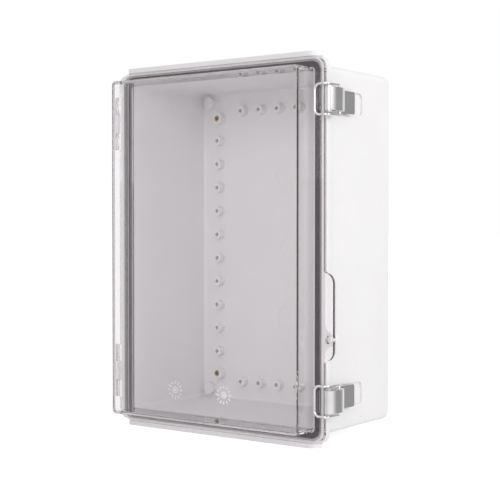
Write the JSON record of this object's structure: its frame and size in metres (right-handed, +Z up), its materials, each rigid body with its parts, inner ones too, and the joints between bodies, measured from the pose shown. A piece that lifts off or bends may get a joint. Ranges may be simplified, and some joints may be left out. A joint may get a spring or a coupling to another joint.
{
  "type": "hinged polycarbonate enclosure",
  "caption": "Wall-mounted polycarbonate box with a clear raised-window lid on side hinges, a gasket, two stainless draw latches and a padlock tab.",
  "frame": {"origin": "centre of the body's flat back face, on the wall", "axes": "+X towards the latches, +Y into the wall, +Z up the wall; the lid faces -Y"},
  "size_m": [0.2198, 0.12, 0.2876],
  "materials": {
    "grey_polycarbonate": "fine satin, light grey",
    "clear_polycarbonate": "clear, polished",
    "gasket_foam": "matte foamed seal, dark grey",
    "stainless_steel": "satin",
    "polished_stainless": "polished",
    "brass": "knurled insert, satin"
  },
  "bodies": {
    "body": {"body": "grey_polycarbonate", "upper_hinge_pin": "stainless_steel", "lower_hinge_pin": "stainless_steel", "plate_inserts": "brass", "upper_latch_base": "stainless_steel", "upper_latch_rivets": "stainless_steel", "upper_lever_pin": "stainless_steel", "lower_latch_base": "stainless_steel", "lower_latch_rivets": "stainless_steel", "lower_lever_pin": "stainless_steel"},
    "lid": {"lid": "clear_polycarbonate", "gasket": "gasket_foam"},
    "upper_lever": {"upper_lever": "polished_stainless"},
    "upper_bail": {"upper_bail": "polished_stainless"},
    "lower_lever": {"lower_lever": "polished_stainless"},
    "lower_bail": {"lower_bail": "polished_stainless"}
  },
  "joints": [
    {"name": "lid_hinge", "type": "hinge", "parent": "body", "child": "lid", "pos_m": [-0.1064, -0.0973, 0], "axis": [0, 0, -1], "range_deg": [0, 160]},
    {"name": "upper_lever_hinge", "type": "hinge", "parent": "body", "child": "upper_lever", "pos_m": [0.1059, -0.1012, 0.1084], "axis": [0, 0, -1], "range_deg": [0, 140]},
    {"name": "upper_bail_hinge", "type": "hinge", "parent": "upper_lever", "child": "upper_bail", "pos_m": [0.1051, -0.087, 0.1084], "axis": [0, 0, 1], "range_deg": [0, 203]},
    {"name": "lower_lever_hinge", "type": "hinge", "parent": "body", "child": "lower_lever", "pos_m": [0.1059, -0.1012, -0.1084], "axis": [0, 0, -1], "range_deg": [0, 140]},
    {"name": "lower_bail_hinge", "type": "hinge", "parent": "lower_lever", "child": "lower_bail", "pos_m": [0.1051, -0.087, -0.1084], "axis": [0, 0, 1], "range_deg": [0, 203]}
  ],
  "couplings": [
    {"joint": "upper_bail_hinge", "follows": "upper_lever_hinge", "ratio": 1.45},
    {"joint": "lower_bail_hinge", "follows": "lower_lever_hinge", "ratio": 1.45}
  ]
}
